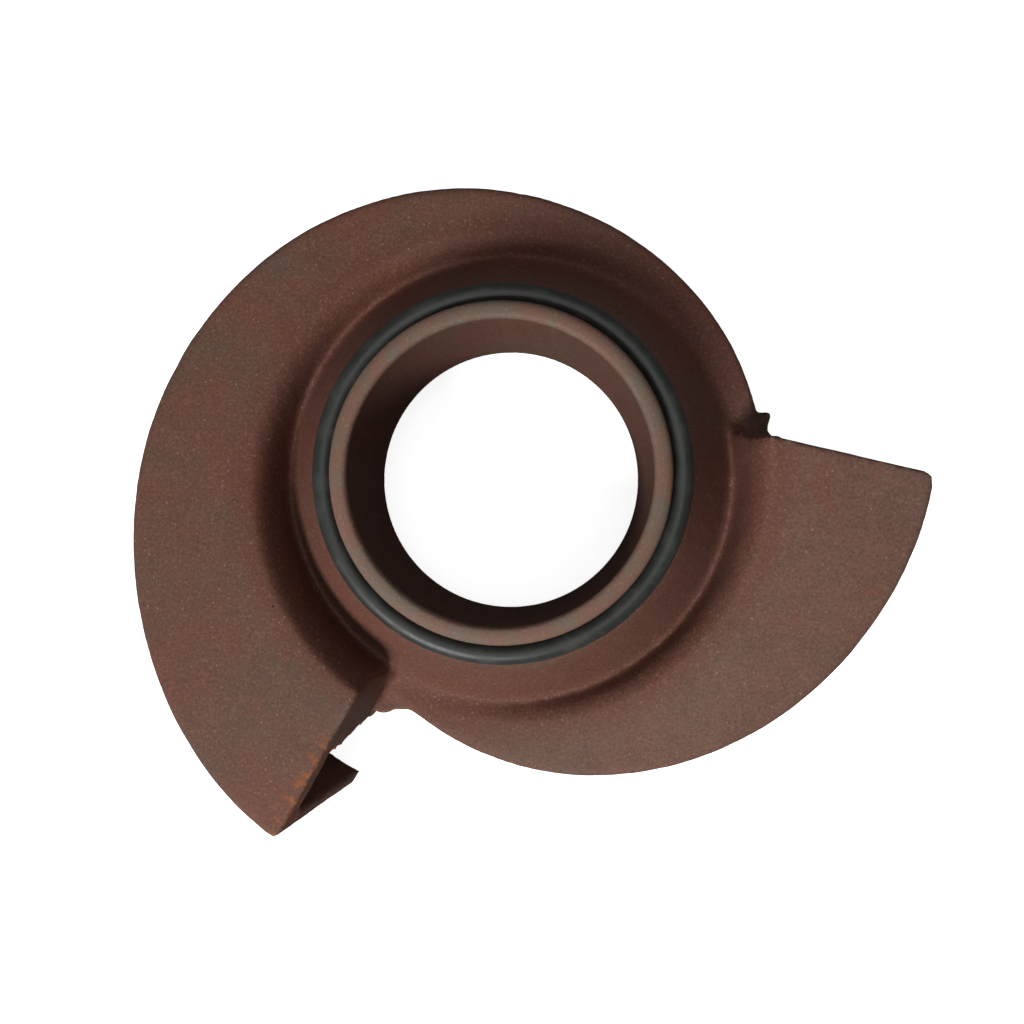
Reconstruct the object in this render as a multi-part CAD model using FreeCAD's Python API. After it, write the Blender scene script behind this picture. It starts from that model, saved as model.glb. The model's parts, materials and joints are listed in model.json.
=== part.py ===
import FreeCAD, Part
import os
from math import atan2, cos, degrees, hypot, pi, radians, sin, sqrt, tan

# Dual volute pump casing, standing on its open back with the suction neck up.
# Millimetres and degrees. The suction bore's axis is Z, and z = 0 is the back rim,
# which seats on the pump's back cover. Angles run anticlockwise from +X, seen from
# the suction side, which is also the way the water turns.

# Suction neck
bore_radius = 40.0
neck_wall = 5.0
neck_top = 66.4            # height of the rim above the back face
rim_rounding = 2.4
bore_chamfer = 0.6

# Shoulder that the neck's seal rests on
shoulder_height = 56.9
shoulder_width = 6.0
shoulder_rounding = 1.5

# Cone from the shoulder down to the front wall
cone_foot_radius = 68.0
cone_foot_fillet = 6.0

# Impeller chamber, open to the back
chamber_radius = 71.5
chamber_depth = 21.0
front_wall = 7.0

# Both arms of the volute
side_wall = 6.5
roof_wall = 7.0
exit_height = 54.4         # top of the roof where an arm ends
roof_edge_rounding = 2.5
mouth_corner = 3.0
roof_step = 0.5            # the roof starts this far above the front wall
roof_softness = 6.0        # degrees over which the roof starts to climb
valley_foot_radius = 67.5  # foot of the arm's inner flank, beside the cone
valley_top_radius = 74.0   # where the inner flank has turned into the roof
channel_lean = 0.35        # share of the channel's width that its inner side leans over
channel_step = 0.4         # the channel's ceiling starts this far above the chamber's
channel_corner = 1.5       # radius of the channel's outer corner, before it widens
channel_corner_gain = 0.1  # share of the channel's width that the corner's radius gains
channel_inset = 6.0        # how far inside the chamber's wall a channel's inner side starts
tongue_softness = 8.0
tongue_lead = 14.0         # degrees from the tongue's nose to the mouth of its channel

# Long arm: nearly round at first, then an even spiral
long_start = 16.0
long_end = 237.0
long_base_radius = 75.53
long_growth = 0.2716       # radius gained per degree once the spiral is under way
long_onset = 67.2
long_softness = 43.7
long_tuck = 0.35           # radius taken off per degree over the last few degrees
long_tuck_lead = 6.0
tuck_softness = 4.0
long_channel_start = 30.0
long_tongue_growth = 0.5   # radius gained per degree by the inner side where the tongue parts it
long_tongue_onset = 32.0   # degrees from there to the mouth
long_mouth_inner = (-40.1, -60.4)
long_mouth_direction = 240.7
long_mouth_lean = 8.0      # the mouth's face leans out towards the back by this angle

# Short arm: an even spiral that eases slightly towards its mouth
short_start = 247.0
short_end = 365.0
short_base_radius = 77.19
short_growth = 0.382
short_easing = 0.000284
short_softness = 4.0
short_channel_start = 252.0
short_tongue_growth = 0.33
short_tongue_onset = 40.0
short_tuck = 0.15
short_tuck_lead = 13.0
short_mouth_inner = (71.1, 10.4)
short_mouth_direction = 346.5
short_mouth_lean = 8.5

# Neck seal, a rubber ring on the shoulder round the neck
seal_section = 5.7
seal_clearance = 0.05

neck_radius = bore_radius + neck_wall
floor_height = chamber_depth + front_wall
shoulder_radius = neck_radius + shoulder_width
overrun = 2.0              # how far a body runs past the plane that trims it


def at(angle, radius, height):
    a = radians(angle)
    return FreeCAD.Vector(radius * cos(a), radius * sin(a), height)


def line(a, b):
    return Part.LineSegment(a, b).toShape()


def arc(a, middle, b):
    return Part.Arc(a, middle, b).toShape()


def bezier(points):
    curve = Part.BezierCurve()
    curve.setPoles(points)
    return curve.toShape()


def soft_ramp(x, softness):
    """Zero well before x = 0, x itself well after, and a smooth bend between."""
    return (x + sqrt(x * x + softness * softness)) / 2


def long_radius(angle):
    spiral = long_growth * soft_ramp(angle - long_onset, long_softness)
    tuck = long_tuck * soft_ramp(angle - long_end + long_tuck_lead, tuck_softness)
    return long_base_radius + spiral - tuck


def short_radius(angle):
    turn = soft_ramp(angle - short_start, short_softness)
    spiral = short_growth * turn - short_easing * turn * turn
    tuck = short_tuck * soft_ramp(angle - short_end + short_tuck_lead, tuck_softness)
    return short_base_radius + spiral - tuck


def roof_height(angle, start, end):
    share = soft_ramp(angle - start, roof_softness) / (end - start)
    return floor_height + roof_step + (exit_height - floor_height - roof_step) * share


def long_inner(angle):
    """Inner side of the long arm's channel: inside the chamber until the tongue parts them."""
    turn = soft_ramp(angle - long_end + long_tongue_onset, tongue_softness)
    return chamber_radius - channel_inset + long_tongue_growth * turn


def short_inner(angle):
    turn = soft_ramp(angle - short_end + short_tongue_onset, tongue_softness)
    return chamber_radius - channel_inset + short_tongue_growth * turn


def arm_section(angle, outer, roof):
    """Outline of an arm cut by a radial plane."""
    root = cone_foot_radius - 8.0
    foot = floor_height - 1.0
    edge = roof_edge_rounding
    centre = (outer - edge, roof - edge)
    drop = roof - foot
    reach = valley_top_radius - valley_foot_radius

    def p(radius, height):
        return at(angle, radius, height)

    return Part.Wire([
        line(p(root, -overrun), p(outer, -overrun)),
        line(p(outer, -overrun), p(outer, roof - edge)),
        arc(p(outer, roof - edge),
            p(centre[0] + edge * cos(pi / 4), centre[1] + edge * sin(pi / 4)),
            p(outer - edge, roof)),
        line(p(outer - edge, roof), p(valley_top_radius, roof)),
        bezier([p(valley_top_radius, roof),
                p(valley_top_radius - 0.8 * reach, roof),
                p(valley_foot_radius, roof - 0.35 * drop),
                p(valley_foot_radius, foot)]),
        line(p(valley_foot_radius, foot), p(root, foot)),
        line(p(root, foot), p(root, -overrun)),
    ])


def channel_section(angle, inner, outer, ceiling):
    """Outline of an arm's channel cut by a radial plane."""
    width = outer - inner
    corner = channel_corner + channel_corner_gain * width
    top = inner + channel_lean * width
    below = -2 * overrun

    def p(radius, height):
        return at(angle, radius, height)

    return Part.Wire([
        line(p(inner, below), p(outer, below)),
        line(p(outer, below), p(outer, ceiling - corner)),
        arc(p(outer, ceiling - corner),
            p(outer - corner + corner * cos(pi / 4), ceiling - corner + corner * sin(pi / 4)),
            p(outer - corner, ceiling)),
        line(p(outer - corner, ceiling), p(top, ceiling)),
        line(p(top, ceiling), p(inner, chamber_depth - 2)),
        line(p(inner, chamber_depth - 2), p(inner, below)),
    ])


def spaced(first, last, count):
    return [first + (last - first) * i / (count - 1) for i in range(count)]


def mouth_reach(radius_at, inner, direction):
    """Length of an arm's mouth along its edge, from the inner end to the outer corner."""
    d = radians(direction)
    reach = 0.0
    for _ in range(20):
        x = inner[0] + reach * cos(d)
        y = inner[1] + reach * sin(d)
        angle = degrees(atan2(y, x)) % 360
        if radius_at == short_radius and angle < 180:
            angle += 360
        reach += radius_at(angle) - hypot(x, y)
    return reach


def mouth_cutter(radius_at, inner, direction, lean):
    """Everything past the leaning face that ends an arm, with the outer corner rounded off."""
    size = 150.0
    reach = mouth_reach(radius_at, inner, direction)
    start = reach - mouth_corner

    def p(x, y):
        return FreeCAD.Vector(x, y, -size)

    turn = mouth_corner * (1 - cos(pi / 4))
    inward = cone_foot_radius - neck_radius
    profile = Part.Wire([
        line(p(-inward, 0), p(start, 0)),
        arc(p(start, 0), p(reach - turn, -turn), p(reach, -mouth_corner)),
        line(p(reach, -mouth_corner), p(size, -mouth_corner)),
        line(p(size, -mouth_corner), p(size, size)),
        line(p(size, size), p(-inward, size)),
        line(p(-inward, size), p(-inward, 0)),
    ])
    cutter = Part.Face(profile).extrude(FreeCAD.Vector(0, 0, 2 * size))
    cutter.rotate(FreeCAD.Vector(), FreeCAD.Vector(1, 0, 0), lean)
    cutter.rotate(FreeCAD.Vector(), FreeCAD.Vector(0, 0, 1), direction)
    cutter.translate(FreeCAD.Vector(inner[0], inner[1], exit_height))
    return cutter


def arm(radius_at, start, end, sections, mouth):
    """One arm of the volute, solid inside, ended at its mouth."""
    bodies = []
    for angle in spaced(start - 9.0, end + 16.0, sections):
        bodies.append(arm_section(angle, radius_at(angle), roof_height(angle, start, end)))
    return Part.makeLoft(bodies, True, False).cut(mouth_cutter(radius_at, *mouth))


def channel(radius_at, inner_at, start, end, sections):
    """The space inside one arm, run on past its mouth."""
    rise = exit_height - roof_wall - chamber_depth
    voids = []
    for angle in spaced(start, end + 18.0, sections):
        ceiling = chamber_depth + channel_step + (rise - channel_step) * (angle - start) / (end - start)
        voids.append(channel_section(angle, inner_at(angle), radius_at(angle) - side_wall, ceiling))
    return Part.makeLoft(voids, True, False)


def hub():
    """Neck, shoulder, cone and front wall, turned about the bore's axis."""
    fillet = cone_foot_fillet
    lean = atan2(cone_foot_radius - shoulder_radius, shoulder_height - floor_height)
    # the arc between the cone and the front wall touches both
    run = fillet * tan((pi / 2 - lean) / 2)
    cone_end = (cone_foot_radius - run * sin(lean), floor_height + run * cos(lean))
    wall_end = (cone_foot_radius + run, floor_height)
    centre = (wall_end[0], floor_height + fillet)
    mid_turn = -pi / 2 - (pi / 2 - lean) / 2
    middle = (centre[0] + fillet * cos(mid_turn), centre[1] + fillet * sin(mid_turn))
    # the shoulder's edge is rounded in the same way
    edge_run = shoulder_rounding * tan((pi / 2 - lean) / 2)
    edge_start = (shoulder_radius - edge_run, shoulder_height)
    edge_end = (shoulder_radius + edge_run * sin(lean), shoulder_height - edge_run * cos(lean))
    edge_turn = pi / 2 - (pi / 2 - lean) / 2
    edge_middle = (edge_start[0] + shoulder_rounding * cos(edge_turn),
                   shoulder_height - shoulder_rounding + shoulder_rounding * sin(edge_turn))
    rim = (neck_radius - rim_rounding, neck_top - rim_rounding)

    def p(radius, height):
        return FreeCAD.Vector(radius, 0, height)

    outer = chamber_radius + 2.5
    profile = Part.Wire([
        line(p(bore_radius, -overrun), p(bore_radius, neck_top - bore_chamfer)),
        line(p(bore_radius, neck_top - bore_chamfer), p(bore_radius + bore_chamfer, neck_top)),
        line(p(bore_radius + bore_chamfer, neck_top), p(rim[0], neck_top)),
        arc(p(rim[0], neck_top),
            p(rim[0] + rim_rounding * cos(pi / 4), rim[1] + rim_rounding * sin(pi / 4)),
            p(neck_radius, rim[1])),
        line(p(neck_radius, rim[1]), p(neck_radius, shoulder_height)),
        line(p(neck_radius, shoulder_height), p(*edge_start)),
        arc(p(*edge_start), p(*edge_middle), p(*edge_end)),
        line(p(*edge_end), p(*cone_end)),
        arc(p(*cone_end), p(*middle), p(*wall_end)),
        line(p(*wall_end), p(outer + 1, floor_height)),
        line(p(outer + 1, floor_height), p(outer + 1, -overrun)),
        line(p(outer + 1, -overrun), p(bore_radius, -overrun)),
    ])
    return Part.Face(profile).revolve(FreeCAD.Vector(), FreeCAD.Vector(0, 0, 1), 360)


def parting(inner_at, end):
    """Plan of what is taken out between the chamber and a channel, up to the tongue's nose."""
    nose = end - tongue_lead
    first = nose - 2 * tongue_lead
    middle = (first + nose) / 2
    inner = chamber_radius - channel_inset - 2

    def p(angle, radius):
        return at(angle, radius, -2 * overrun)

    wire = Part.Wire([
        arc(p(first, inner), p(middle, inner), p(nose, inner)),
        line(p(nose, inner), p(nose, inner_at(nose) + 1)),
        arc(p(nose, inner_at(nose) + 1), p(middle, inner_at(middle) + 1), p(first, inner_at(first) + 1)),
        line(p(first, inner_at(first) + 1), p(first, inner)),
    ])
    space = Part.Face(wire).extrude(FreeCAD.Vector(0, 0, chamber_depth + 2 * overrun))
    thickness = inner_at(nose) - chamber_radius
    rounding = Part.makeCylinder(thickness / 2, 4 * chamber_depth,
                                 at(nose, chamber_radius + thickness / 2, -chamber_depth))
    return space.cut(rounding)


def tongue_back(points):
    """Wedge between an arm's mouth and the start of the other arm."""
    corners = [at(angle, radius, -overrun) for angle, radius in points]
    face = Part.Face(Part.makePolygon(corners + corners[:1]))
    return face.extrude(FreeCAD.Vector(0, 0, floor_height + overrun))


def tongue_backs():
    inside = chamber_radius + 0.5
    start_radius = long_radius(long_start)
    for_short_mouth = tongue_back([
        (short_end - 360, short_inner(short_end) - 1),
        (long_start - 6.0, short_inner(short_end) + 0.8),
        (long_start - 2.1, short_inner(short_end) + 2.2),
        (long_start - 0.6, start_radius - 0.5),
        (long_start + 4, inside),
        (short_end - 360, inside)])
    start_radius = short_radius(short_start)
    for_long_mouth = tongue_back([
        (long_end + 1, long_inner(long_end) - 2),
        (long_end + 3.6, long_inner(long_end) + 1.5),
        (short_start, start_radius - 0.5),
        (short_start + 4, inside),
        (long_end + 1, inside)])
    return [for_short_mouth, for_long_mouth]


def hollows():
    """Chamber and channels, which make one space that opens to the back."""
    disc = Part.makeCylinder(chamber_radius, chamber_depth + 2 * overrun,
                             FreeCAD.Vector(0, 0, -2 * overrun))
    return [disc,
            parting(long_inner, long_end),
            parting(short_inner, short_end),
            channel(long_radius, long_inner, long_channel_start, long_end, 15),
            channel(short_radius, short_inner, short_channel_start, short_end, 10)]


def casing():
    long_arm = arm(long_radius, long_start, long_end, 15,
                   (long_mouth_inner, long_mouth_direction, long_mouth_lean))
    short_arm = arm(short_radius, short_start, short_end, 10,
                    (short_mouth_inner, short_mouth_direction, short_mouth_lean))
    body = hub().fuse([long_arm, short_arm] + tongue_backs())
    body = body.cut(hollows())
    below = Part.makeBox(400, 400, 50, FreeCAD.Vector(-200, -200, -50))
    return body.cut(below).removeSplitter()


def seal():
    ring = seal_section / 2
    centre = FreeCAD.Vector(0, 0, shoulder_height + ring + seal_clearance)
    return Part.makeTorus(neck_radius + ring + seal_clearance, ring, centre)


if __name__ == "__main__":
    os.makedirs("parts", exist_ok=True)
    casting = casing()
    casting.exportStep("parts/volute_casing.step")
    seal().exportStep("parts/neck_seal.step")
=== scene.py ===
import json
from math import atan2, cos, pi, sin

import bmesh
import bpy
import numpy as np
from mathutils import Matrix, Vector, noise


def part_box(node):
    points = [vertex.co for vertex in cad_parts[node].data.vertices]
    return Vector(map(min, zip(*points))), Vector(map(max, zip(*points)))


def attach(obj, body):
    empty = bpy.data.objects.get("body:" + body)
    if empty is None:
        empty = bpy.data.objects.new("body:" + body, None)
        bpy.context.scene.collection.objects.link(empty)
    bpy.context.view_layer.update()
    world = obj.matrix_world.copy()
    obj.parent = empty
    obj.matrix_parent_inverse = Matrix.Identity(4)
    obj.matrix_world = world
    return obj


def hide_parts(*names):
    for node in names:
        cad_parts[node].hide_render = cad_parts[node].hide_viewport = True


MM = 0.001

# The casting's copy for show
WELD = 0.001 * MM            # points closer than this are joined
VOXEL = 0.8 * MM
CASTING_TRIANGLES = 190_000
SMOOTHING_ROUNDS = 4

# Machined surfaces: bore, neck and rim
NECK_WALL = 5.0 * MM
SNAP = 0.5 * MM              # they take points from this far
BORE_SHY = 1.2 * MM          # bore and neck stop this far below the rim
NECK_SHY = 2.6 * MM          # and the rim this far inside the neck's outer side
BORE_EASE = 1.0 * MM         # the rim starts this far outside the bore
SEAL_SHY = 0.8 * MM          # the neck starts this far above the ring's underside
TURNED_FADE = 1 * MM         # cast skin begins over this distance
BORE_SKIN = 1.5 * MM         # and this far into the iron round the bore
RIM_PAINT = (2.5 * MM, 1.0 * MM)             # worn primer, depth below the rim: none, full

# Cast skin: (amplitude, wavelength) of each layer of unevenness
SKIN = ((0.16 * MM, 24 * MM), (0.09 * MM, 6 * MM), (0.05 * MM, 2 * MM))
SKIN_FOOT = (0.2 * MM, 1.5 * MM)             # heights: none on the flat back, full
EDGE = (0.06, 0.16)                          # convexity where an edge begins and where it is full
CONVEXITY_ROUNDS = 2

# Seal ring
RING_STEPS = 288
SECTION_STEPS = 48

# Flaws of the casting, in the frame's own place
MOUTH_CORNER = (-61.2 * MM, -98.9 * MM)      # long arm's mouth, outer corner of its roof
MOUTH_MIDDLE = (-49.5 * MM, -77.7 * MM)      # and the middle of the same edge
LONG_LIP = (-44.0 * MM, -75.5 * MM)          # rough lips of the tongues, behind the mouths
SHORT_LIP = (78.5 * MM, 16.5 * MM)
LONG_LIP_REACH = (5 * MM, 13 * MM)           # distances in plan: full, none
SHORT_LIP_REACH = (4 * MM, 9 * MM)
LIP_TOP = (50 * MM, 44 * MM)                 # heights: none, full
LIP_ROUGHNESS = 0.8 * MM
LIP_WAVELENGTH = 3.2 * MM
LIP_SHIFT = 7 * MM                           # moves the pattern away from the skin's
VALLEY = (61 * MM, 73 * MM)                  # radii of the crease round the cone's foot
VALLEY_FADE = 3 * MM
VALLEY_FLOOR = (26 * MM, 28 * MM)            # heights: none, full
VALLEY_ROUNDS = 40
VALLEY_PULL = 0.6                            # share of the way to the neighbours' mean, each round
CHIP = 0.45 * MM
CHIP_WAVELENGTH = 5 * MM
CHIP_BAND = (0.10, 0.45)
RUST_REACH = (7 * MM, 1 * MM)                # distances from the mouth's edge: none, full
RUST_HEIGHT = (40 * MM, 48 * MM)
# Painted shade: a darker patch on the pad by the short lip, where the short arm's mouth wall shades
# it
SHADE_BY_LIP_REACH = (5 * MM, 10 * MM)              # distances from the short lip: full, none
SHADE_BY_LIP_HEIGHT = (30 * MM, 28 * MM)

# Broad shifts of colour, and a ring of painted shade in the valley round the cone
PALE_WAY = (0.8, -0.6)                       # the colour turns lighter and more beige towards this side
PALE_SPAN = 90 * MM
VALLEY_SHADE_OUTER = (81 * MM, 74 * MM)         # radii of the redder, darker ring of painted shade on the cone: none, full
VALLEY_SHADE_INNER = (50 * MM, 56 * MM)

# Camera over the neck, looking down
CAMERA_PLACE = (16.4 * MM, -10.15 * MM, 265.1 * MM)
CAMERA_LEAN = atan2(50, 775)
CAMERA_FOCAL = 27.25         # mm, on a 36 mm sensor

# Studio
FLOOR_HALF = 4.0
FLOOR_BOUNCE = 0.22          # share of light that the floor gives back to the object
FLOOR_SEEN = 0.9             # and to the eye
FLOOR_GLOW = 0.85            # lifts the floor to white for the eye alone
WORLD_FILL = 0.10            # the world's light on the object; the eye sees it at 1
LAMPS_AIM = (0, 0, 0.03)


def rgb(red, green, blue):
    """A colour as it looks on screen (0 to 255), as the linear values that shaders take."""
    channels = []
    for value in (red, green, blue):
        c = value / 255
        channels.append(c / 12.92 if c <= 0.04045 else ((c + 0.055) / 1.055) ** 2.4)
    return (*channels, 1.0)


# ---------------------------------------------------------------- materials

class Nodes:
    """A material's node tree, with a short way to add and join nodes."""

    def __init__(self, name):
        self.material = bpy.data.materials.new(name)
        self.material.use_nodes = True
        self.tree = self.material.node_tree
        self.tree.nodes.clear()
        self.output = self.tree.nodes.new("ShaderNodeOutputMaterial")

    def add(self, kind, links=None, **settings):
        node = self.tree.nodes.new(kind)
        for key, value in settings.items():
            setattr(node, key, value)
        for socket, source in (links or {}).items():
            self.join(source, node.inputs[socket])
        return node

    def join(self, source, socket):
        if isinstance(source, bpy.types.NodeSocket):
            self.tree.links.new(source, socket)
        else:
            socket.default_value = source

    def noise(self, place, wavelength, detail=2.0, roughness=0.5):
        node = self.add("ShaderNodeTexNoise", {"Vector": place, "Scale": 1 / wavelength,
                                               "Detail": detail, "Roughness": roughness})
        return node.outputs["Fac"]

    def cells(self, place, wavelength):
        node = self.add("ShaderNodeTexVoronoi", {"Vector": place, "Scale": 1 / wavelength})
        return node.outputs["Distance"], node.outputs["Color"]

    def band(self, value, low, high):
        """0 below low, 1 above high, smooth between; low above high turns it round."""
        node = self.add("ShaderNodeMapRange", {"Value": value, "From Min": low, "From Max": high},
                        interpolation_type="SMOOTHSTEP")
        return node.outputs["Result"]

    def maths(self, operation, a, b):
        return self.add("ShaderNodeMath", {0: a, 1: b}, operation=operation).outputs[0]

    def mix(self, share, a, b):
        node = self.add("ShaderNodeMix", {"Factor": share}, data_type="RGBA")
        self.join(a, node.inputs[6])
        self.join(b, node.inputs[7])
        return node.outputs[2]

    def painted(self, name):
        """A mask kept on the mesh's own points."""
        return self.add("ShaderNodeAttribute", attribute_name=name).outputs["Fac"]


def casting_material():
    """Rust-red primer on sand-cast iron: mottled, speckled, worn to grey on edges and rim, with
    painted shade in the valley round the cone and on the pad by the short lip.
    """
    n = Nodes("red_primer_on_iron")
    place = n.add("ShaderNodeTexCoord").outputs["Object"]

    clouds = n.band(n.noise(place, 34 * MM, 2, 0.6), 0.38, 0.66)
    patches = n.band(n.noise(place, 8 * MM, 3, 0.65), 0.42, 0.66)
    grain = n.noise(place, 0.8 * MM, 2, 0.7)
    colour = n.mix(clouds, rgb(106, 68, 56), rgb(98, 73, 61))
    colour = n.mix(n.maths("MULTIPLY", n.painted("pale"), 0.6), colour, rgb(110, 83, 72))
    colour = n.mix(n.maths("MULTIPLY", patches, 0.35), colour, rgb(88, 68, 56))
    red = n.band(n.noise(place, 15 * MM, 2, 0.7), 0.60, 0.74)
    colour = n.mix(n.maths("MULTIPLY", red, 0.35), colour, rgb(116, 64, 52))
    # painted shade: a darker, redder ring on the cone and in the valley round its foot
    colour = n.mix(n.maths("MULTIPLY", n.painted("valley_shade"), 0.55), colour, rgb(98, 56, 45))
    dark_grain = n.maths("MULTIPLY", n.band(grain, 0.50, 0.34), 0.40)
    colour = n.mix(dark_grain, colour, rgb(64, 46, 39))
    light_grain = n.maths("MULTIPLY", n.band(grain, 0.54, 0.70), 0.45)
    colour = n.mix(light_grain, colour, rgb(130, 102, 90))

    spots, random_colour = n.cells(place, 1.5 * MM)
    pick = n.add("ShaderNodeSeparateColor", {"Color": random_colour}).outputs[0]
    speck = n.maths("MULTIPLY", n.band(spots, 0.24, 0.10), n.band(pick, 0.84, 0.92))
    colour = n.mix(n.maths("MULTIPLY", speck, 0.5), colour, rgb(158, 132, 118))

    rim_patch = n.band(n.noise(place, 12 * MM, 3, 0.6), 0.42, 0.62)
    rim_colour = n.mix(rim_patch, rgb(116, 86, 74), rgb(104, 92, 79))
    rim_colour = n.mix(light_grain, rim_colour, rgb(138, 120, 106))
    colour = n.mix(n.painted("machined"), colour, rim_colour)

    flaking = n.band(n.noise(place, 3.0 * MM, 3, 0.7), 0.48, 0.62)
    worn = n.maths("MULTIPLY", n.painted("edge"), flaking)
    colour = n.mix(n.maths("MULTIPLY", worn, 0.5), colour, rgb(144, 124, 110))
    rust = n.maths("MULTIPLY", n.painted("rust"), flaking)
    colour = n.mix(n.maths("MULTIPLY", rust, 0.8), colour, rgb(150, 84, 34))
    # painted shade: darker colour on the pad by the short lip
    colour = n.mix(n.maths("MULTIPLY", n.painted("shade_by_lip"), 0.75), colour, rgb(56, 43, 38))

    bump = n.add("ShaderNodeBump", {"Strength": 0.8, "Distance": 0.12 * MM, "Height": grain})
    roughness = n.maths("ADD", n.maths("MULTIPLY", grain, 0.2), 0.58)
    shader = n.add("ShaderNodeBsdfPrincipled", {"Base Color": colour, "Roughness": roughness,
                                                "Specular IOR Level": 0.2,
                                                "Normal": bump.outputs["Normal"]})
    n.join(shader.outputs[0], n.output.inputs["Surface"])
    return n.material


def rubber_material():
    """Black nitrile rubber, faintly green, with a dusty film."""
    n = Nodes("black_rubber")
    place = n.add("ShaderNodeTexCoord").outputs["Object"]
    film = n.band(n.noise(place, 7 * MM, 4, 0.7), 0.42, 0.68)
    grain = n.noise(place, 0.5 * MM, 3, 0.6)
    colour = n.mix(film, rgb(40, 43, 40), rgb(52, 54, 51))
    bump = n.add("ShaderNodeBump", {"Strength": 0.25, "Distance": 0.2 * MM, "Height": grain})
    roughness = n.maths("ADD", n.maths("MULTIPLY", film, 0.14), 0.42)
    shader = n.add("ShaderNodeBsdfPrincipled", {"Base Color": colour, "Roughness": roughness,
                                                "Specular IOR Level": 0.4,
                                                "Normal": bump.outputs["Normal"]})
    n.join(shader.outputs[0], n.output.inputs["Surface"])
    return n.material


def floor_material():
    """White to the eye, with the shadow kept; light that bounces off it is held down."""
    n = Nodes("pale_floor")
    seen = n.add("ShaderNodeLightPath").outputs["Is Camera Ray"]
    bounced = (FLOOR_BOUNCE, FLOOR_BOUNCE, FLOOR_BOUNCE, 1)
    bright = (FLOOR_SEEN, FLOOR_SEEN, FLOOR_SEEN, 1)
    matt = n.add("ShaderNodeBsdfDiffuse", {"Color": n.mix(seen, bounced, bright)})
    strength = n.maths("MULTIPLY", seen, FLOOR_GLOW)
    glow = n.add("ShaderNodeEmission", {"Color": (1, 1, 1, 1), "Strength": strength})
    both = n.add("ShaderNodeAddShader", {0: matt.outputs[0], 1: glow.outputs[0]})
    n.join(both.outputs[0], n.output.inputs["Surface"])
    return n.material


# ---------------------------------------------------------------- meshes

def to_mesh(name, points, faces):
    mesh = bpy.data.meshes.new(name)
    mesh.from_pydata(points, [], faces)
    mesh.shade_smooth()
    piece = bpy.data.objects.new(name, mesh)
    bpy.context.scene.collection.objects.link(piece)
    return piece


def even_copy(node, name):
    """A closed copy of a CAD node in small even faces, its edges eased as casting leaves them."""
    mesh = node.data.copy()
    joined = bmesh.new()
    joined.from_mesh(mesh)
    bmesh.ops.remove_doubles(joined, verts=joined.verts, dist=WELD)
    joined.to_mesh(mesh)
    joined.free()
    mesh.materials.clear()
    piece = bpy.data.objects.new(name, mesh)
    bpy.context.scene.collection.objects.link(piece)
    remesh = piece.modifiers.new("even", "REMESH")
    remesh.mode = "VOXEL"
    remesh.voxel_size = VOXEL
    smooth = piece.modifiers.new("ease", "SMOOTH")
    smooth.iterations = SMOOTHING_ROUNDS
    apply_modifiers(piece)
    faces = len(piece.data.polygons)
    fewer = piece.modifiers.new("fewer", "DECIMATE")
    fewer.ratio = CASTING_TRIANGLES / (2 * faces)
    apply_modifiers(piece)
    piece.data.shade_smooth()
    return piece


def apply_modifiers(piece):
    graph = bpy.context.evaluated_depsgraph_get()
    finished = bpy.data.meshes.new_from_object(piece.evaluated_get(graph))
    piece.modifiers.clear()
    old = piece.data
    piece.data = finished
    bpy.data.meshes.remove(old)


def points_of(mesh):
    points = np.empty(3 * len(mesh.vertices))
    mesh.vertices.foreach_get("co", points)
    return points.reshape(-1, 3)


def normals_of(mesh):
    normals = np.empty(3 * len(mesh.vertices))
    mesh.vertices.foreach_get("normal", normals)
    return normals.reshape(-1, 3)


def put_points(mesh, points):
    mesh.vertices.foreach_set("co", np.ascontiguousarray(points).ravel())
    mesh.update()


def paint(mesh, name, values):
    mesh.attributes.new(name, "FLOAT", "POINT").data.foreach_set("value", values.astype(np.float32))


def ramp(values, low, high):
    share = np.clip((values - low) / (high - low), 0, 1)
    return share * share * (3 - 2 * share)


def unevenness(points, wavelength):
    return np.array([noise.noise(Vector(p)) for p in points / wavelength])


class Neighbours:
    """Averages over the points that each point of a mesh shares an edge with."""

    def __init__(self, mesh):
        edges = np.empty(2 * len(mesh.edges), dtype=int)
        mesh.edges.foreach_get("vertices", edges)
        self.a, self.b = edges.reshape(-1, 2).T
        self.count = np.bincount(edges, minlength=len(mesh.vertices)).clip(1)

    def total(self, at_a, at_b):
        size = len(self.count)
        return np.bincount(self.a, at_a, size) + np.bincount(self.b, at_b, size)

    def mean(self, values):
        if values.ndim == 2:
            return np.stack([self.mean(column) for column in values.T], 1)
        return self.total(values[self.b], values[self.a]) / self.count

    def convexity(self, points, normals):
        """How far each point stands out from its neighbours, over their distance."""
        span = points[self.b] - points[self.a]
        length = np.linalg.norm(span, axis=1) + 1e-9
        out_a = -(span * normals[self.a]).sum(1) / length
        out_b = (span * normals[self.b]).sum(1) / length
        value = self.total(out_a, out_b) / self.count
        for _ in range(CONVEXITY_ROUNDS):
            value = (value + self.mean(value)) / 2
        return value


def near(points, centre, full, none):
    """1 within a distance of a place in plan, 0 beyond a longer one."""
    return ramp(np.hypot(points[:, 0] - centre[0], points[:, 1] - centre[1]), none, full)


def from_segment(points, a, b):
    """Distance in plan from the segment a to b."""
    a, b = np.array(a), np.array(b)
    along = np.clip((points[:, :2] - a) @ (b - a) / ((b - a) @ (b - a)), 0, 1)
    return np.linalg.norm(points[:, :2] - a - along[:, None] * (b - a), axis=1)


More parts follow.
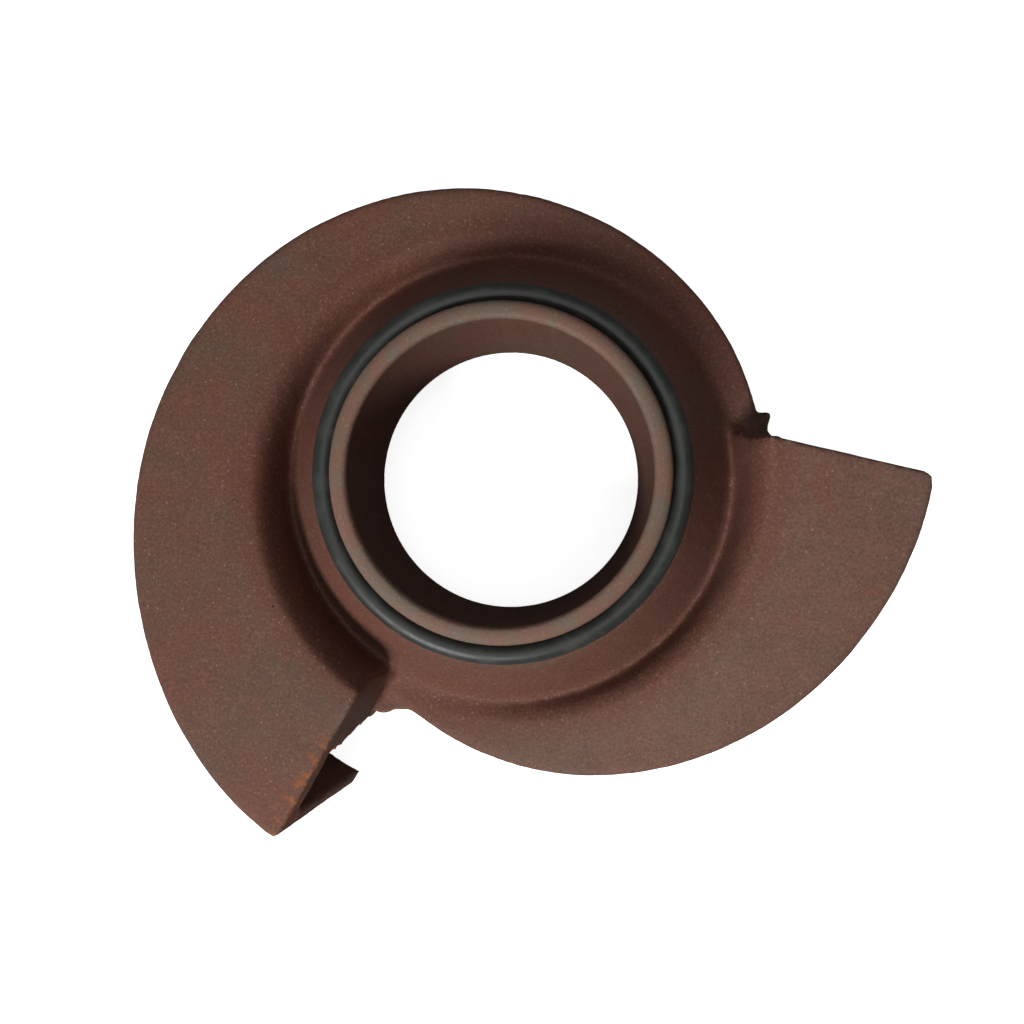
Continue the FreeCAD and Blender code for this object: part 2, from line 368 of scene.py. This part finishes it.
def turn_true(points, bore, neck, seal_low, top):
    """Puts the points of the bore, the neck and the rim back on their turned surfaces."""
    radius = np.hypot(points[:, 0], points[:, 1])
    height = points[:, 2]
    on_bore = (abs(radius - bore) < SNAP) & (height < top - BORE_SHY)
    on_neck = ((abs(radius - neck) < SNAP)
               & (height > seal_low + SEAL_SHY) & (height < top - NECK_SHY))
    on_rim = (top - height < SNAP) & (radius > bore + BORE_EASE) & (radius < neck - NECK_SHY)
    scale = np.where(on_bore, bore / radius, np.where(on_neck, neck / radius, 1.0))
    points[:, :2] *= scale[:, None]
    points[on_rim, 2] = top


def roughen(mesh, points, neighbours, turned):
    """Cast skin, the valley's fillet, rough lips behind the mouths and small chips on the edges."""
    radius = np.hypot(points[:, 0], points[:, 1])
    inner, outer = VALLEY
    valley = (ramp(radius, inner, inner + VALLEY_FADE) * ramp(radius, outer, outer - VALLEY_FADE)
              * ramp(points[:, 2], *VALLEY_FLOOR))
    for _ in range(VALLEY_ROUNDS):
        points = points + VALLEY_PULL * valley[:, None] * (neighbours.mean(points) - points)
    put_points(mesh, points)
    normals = normals_of(mesh)
    cast = (1 - turned) * ramp(points[:, 2], *SKIN_FOOT)
    skin = sum(size * unevenness(points, wavelength) for size, wavelength in SKIN)
    lips = near(points, LONG_LIP, *LONG_LIP_REACH) + near(points, SHORT_LIP, *SHORT_LIP_REACH)
    lips = lips * ramp(points[:, 2], *LIP_TOP)
    lips = lips * LIP_ROUGHNESS * unevenness(points + LIP_SHIFT, LIP_WAVELENGTH)
    edge = ramp(neighbours.convexity(points, normals), *EDGE)
    chips = CHIP * edge * ramp(unevenness(points, CHIP_WAVELENGTH), *CHIP_BAND)
    return points + normals * (cast * (skin + lips - chips))[:, None]


def casting(node):
    piece = even_copy(node, "volute_casting")
    mesh = piece.data
    low, high = (np.array(corner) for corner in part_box("volute_casing"))
    top = high[2]
    seal_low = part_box("neck_seal")[0].z
    bore = MOUNTS["suction_bore"]["dims"]["r_mm"] * MM
    neck = bore + NECK_WALL
    neighbours = Neighbours(mesh)

    points = points_of(mesh)
    turn_true(points, bore, neck, seal_low, top)
    radius = np.hypot(points[:, 0], points[:, 1])
    height = points[:, 2]
    on_neck = (ramp(height, seal_low, seal_low + TURNED_FADE)
               * ramp(neck + TURNED_FADE - radius, 0, TURNED_FADE))
    turned = np.maximum(on_neck, ramp(bore + BORE_SKIN - radius, 0, TURNED_FADE))
    points = np.clip(roughen(mesh, points, neighbours, turned), low, high)
    put_points(mesh, points)

    height = points[:, 2]
    radius = np.hypot(points[:, 0], points[:, 1])
    paint(mesh, "edge", ramp(neighbours.convexity(points, normals_of(mesh)), *EDGE))
    paint(mesh, "machined", ramp(height, top - RIM_PAINT[0], top - RIM_PAINT[1]))
    paint(mesh, "rust", ramp(from_segment(points, MOUTH_CORNER, MOUTH_MIDDLE), *RUST_REACH)
          * ramp(height, *RUST_HEIGHT))
    # painted shade on the pad by the short lip
    paint(mesh, "shade_by_lip", near(points, SHORT_LIP, *SHADE_BY_LIP_REACH) * ramp(height, *SHADE_BY_LIP_HEIGHT))
    paint(mesh, "pale", ramp(points[:, 0] * PALE_WAY[0] + points[:, 1] * PALE_WAY[1], 0, PALE_SPAN))
    # painted shade in the valley round the cone
    paint(mesh, "valley_shade", ramp(radius, *VALLEY_SHADE_OUTER) * ramp(radius, *VALLEY_SHADE_INNER))
    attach(piece, "root")
    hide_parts("volute_casing")
    mesh.materials.append(casting_material())
    return piece


def seal(node):
    """The rubber ring as a true torus."""
    low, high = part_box("neck_seal")
    section = (high.z - low.z) / 2
    ring = high.x - section
    points = []
    faces = []
    for i in range(RING_STEPS):
        turn = 2 * pi * i / RING_STEPS
        for j in range(SECTION_STEPS):
            roll = 2 * pi * j / SECTION_STEPS
            out = ring + section * cos(roll)
            points.append((out * cos(turn), out * sin(turn), low.z + section + section * sin(roll)))
            next_i = (i + 1) % RING_STEPS
            next_j = (j + 1) % SECTION_STEPS
            faces.append((i * SECTION_STEPS + j, next_i * SECTION_STEPS + j,
                          next_i * SECTION_STEPS + next_j, i * SECTION_STEPS + next_j))
    piece = to_mesh("seal_ring", points, faces)
    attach(piece, "root")
    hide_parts("neck_seal")
    piece.data.materials.append(rubber_material())
    return piece


# ---------------------------------------------------------------- surroundings

def camera():
    data = bpy.data.cameras.new("camera")
    data.lens = CAMERA_FOCAL
    data.sensor_width = 36
    data.clip_start = 0.01
    eye = bpy.data.objects.new("camera", data)
    eye.location = CAMERA_PLACE
    eye.rotation_euler = (0, CAMERA_LEAN, 0)
    bpy.context.scene.collection.objects.link(eye)
    bpy.context.scene.camera = eye


def floor():
    half = FLOOR_HALF
    corners = [(-half, -half, 0), (half, -half, 0), (half, half, 0), (-half, half, 0)]
    piece = to_mesh("floor", corners, [(0, 1, 2, 3)])
    piece.data.materials.append(floor_material())


def softbox(name, place, aim, width, power):
    data = bpy.data.lights.new(name, "AREA")
    data.shape = "DISK"
    data.size = width
    data.energy = power
    lamp = bpy.data.objects.new(name, data)
    lamp.location = place
    lamp.rotation_euler = (Vector(aim) - Vector(place)).to_track_quat("-Z", "Y").to_euler()
    bpy.context.scene.collection.objects.link(lamp)


def lights():
    softbox("key", (-0.40, -0.75, 0.85), LAMPS_AIM, 0.5, 14)
    softbox("overhead", (0.1, 0.05, 1.3), LAMPS_AIM, 0.9, 3.5)
    world = bpy.data.worlds.new("studio")
    world.use_nodes = True
    tree = world.node_tree
    tree.nodes.clear()
    seen = tree.nodes.new("ShaderNodeLightPath").outputs["Is Camera Ray"]
    strength = tree.nodes.new("ShaderNodeMapRange")
    strength.inputs["To Min"].default_value = WORLD_FILL
    strength.inputs["To Max"].default_value = 1.0
    background = tree.nodes.new("ShaderNodeBackground")
    output = tree.nodes.new("ShaderNodeOutputWorld")
    tree.links.new(seen, strength.inputs["Value"])
    tree.links.new(strength.outputs["Result"], background.inputs["Strength"])
    background.inputs["Color"].default_value = (1, 1, 1, 1)
    tree.links.new(background.outputs[0], output.inputs["Surface"])
    bpy.context.scene.world = world


# ---------------------------------------------------------------- the scene

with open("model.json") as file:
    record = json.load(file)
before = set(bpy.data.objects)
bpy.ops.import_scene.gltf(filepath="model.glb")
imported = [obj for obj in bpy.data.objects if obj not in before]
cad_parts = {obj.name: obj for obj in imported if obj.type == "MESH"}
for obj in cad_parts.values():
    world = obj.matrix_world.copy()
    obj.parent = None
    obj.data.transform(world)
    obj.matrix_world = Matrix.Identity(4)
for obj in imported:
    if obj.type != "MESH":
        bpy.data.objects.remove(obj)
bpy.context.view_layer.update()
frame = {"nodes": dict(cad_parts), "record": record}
MOUNTS = {mount["name"]: mount for mount in frame["record"]["mounts"]}

camera()
casting(frame["nodes"]["volute_casing"])
seal(frame["nodes"]["neck_seal"])
floor()
lights()
bpy.context.scene.view_settings.view_transform = "Standard"
